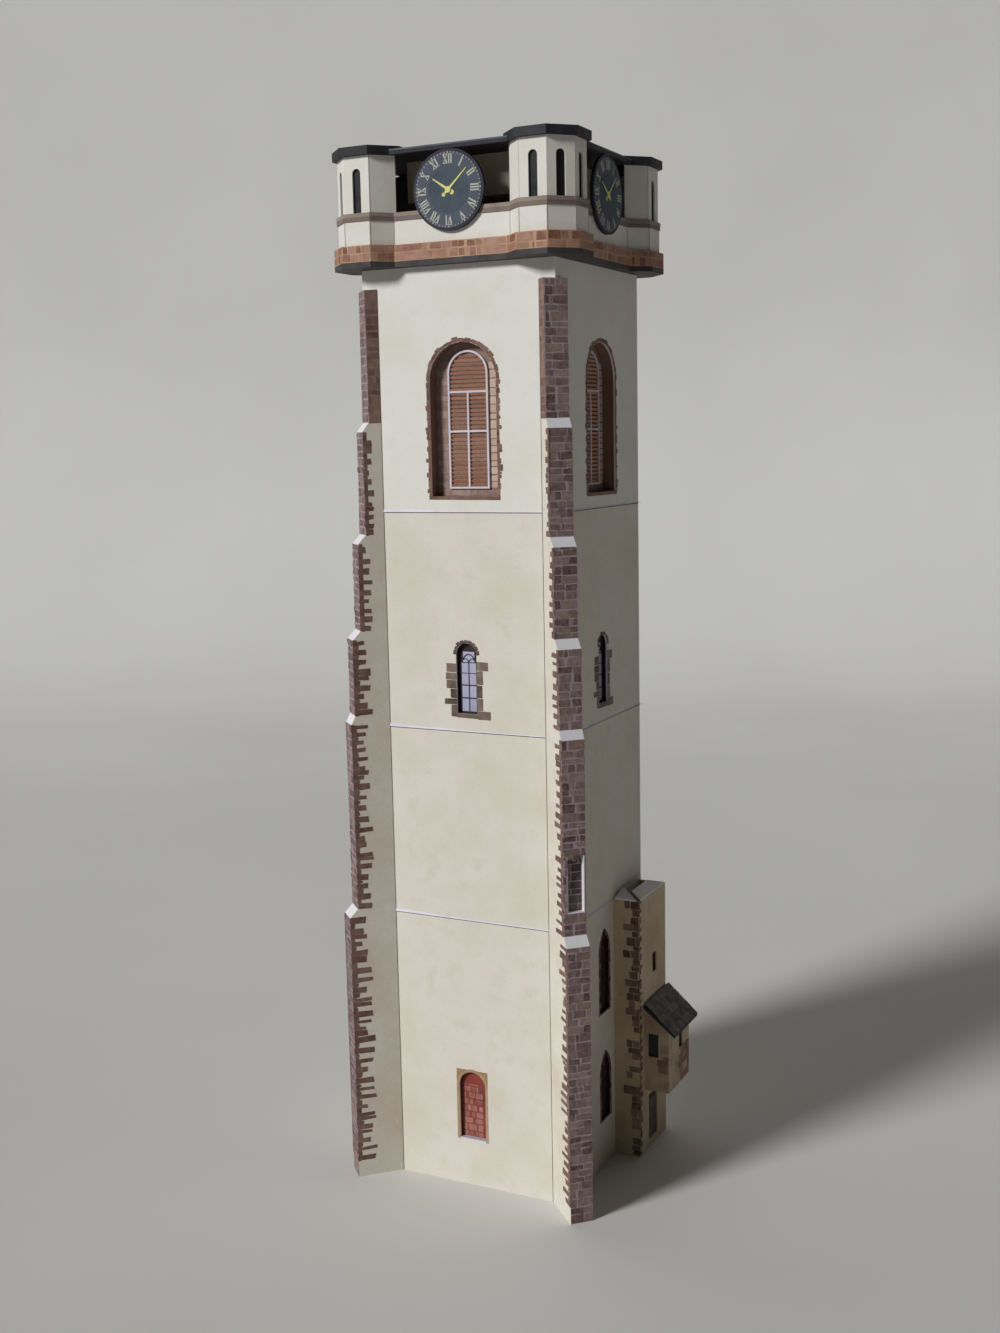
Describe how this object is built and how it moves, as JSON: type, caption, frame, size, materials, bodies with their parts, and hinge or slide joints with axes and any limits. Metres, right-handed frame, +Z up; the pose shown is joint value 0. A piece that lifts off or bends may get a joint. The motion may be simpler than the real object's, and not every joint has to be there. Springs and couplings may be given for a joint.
{
  "type": "card model of a bell tower",
  "caption": "Square card tower with stepped front buttresses, recessed belfry windows, a turreted gallery with clock dials, and a small stair annexe.",
  "frame": {"origin": "centre of the square tower's foot, on the surface it stands on", "axes": "+Z up; -Y is the front face with the blind doorway; +X is the face with the annexe"},
  "size_m": [0.0886, 0.078, 0.3021],
  "materials": {
    "plain_card": "matte",
    "white_plaster": "matte",
    "cream_plaster": "matte",
    "buttress_print": "matte",
    "belfry_print": "matte",
    "small_window_print": "matte",
    "red_window_print": "matte",
    "doorway_print": "matte",
    "grey_card": "matte",
    "sandstone_print": "matte",
    "string_print": "matte",
    "turret_print": "matte",
    "core_print": "matte",
    "black_card": "matte",
    "dial_print": "matte",
    "annexe_print": "matte",
    "door_print": "matte",
    "oriel_print": "matte",
    "slate_print": "matte"
  },
  "bodies": {
    "root": {"base_plate": "plain_card", "storey_1_front": "cream_plaster", "storey_1_right": "cream_plaster", "storey_1_back": "cream_plaster", "storey_1_left": "cream_plaster", "storey_2_front": "cream_plaster", "storey_2_right": "cream_plaster", "storey_2_back": "cream_plaster", "storey_2_left": "cream_plaster", "storey_3_front": "cream_plaster", "storey_3_right": "cream_plaster", "storey_3_back": "cream_plaster", "storey_3_left": "cream_plaster", "storey_4_front": "white_plaster", "storey_4_right": "white_plaster", "storey_4_back": "white_plaster", "storey_4_left": "white_plaster", "buttress_front_right": "buttress_print", "buttress_front_left": "buttress_print", "belfry_window_front": "belfry_print", "belfry_window_right": "belfry_print", "belfry_window_back": "belfry_print", "belfry_window_left": "belfry_print", "small_windows": "small_window_print", "pointed_windows": "red_window_print", "blind_doorway": "doorway_print", "gallery_floor": "grey_card", "sandstone_band": "sandstone_print", "parapets": "white_plaster", "string_course": "string_print", "turret_front_right": "turret_print", "turret_back_right": "turret_print", "turret_back_left": "turret_print", "turret_front_left": "turret_print", "gallery_core": "core_print", "roof_plate": "black_card", "turret_caps": "black_card", "clock_dials": "dial_print", "annexe_front": "annexe_print", "annexe_outer": "annexe_print", "annexe_back": "annexe_print", "annexe_tabs": "plain_card", "annexe_door": "door_print", "oriel_walls": "oriel_print", "oriel_roof": "slate_print"}
  },
  "joints": []
}
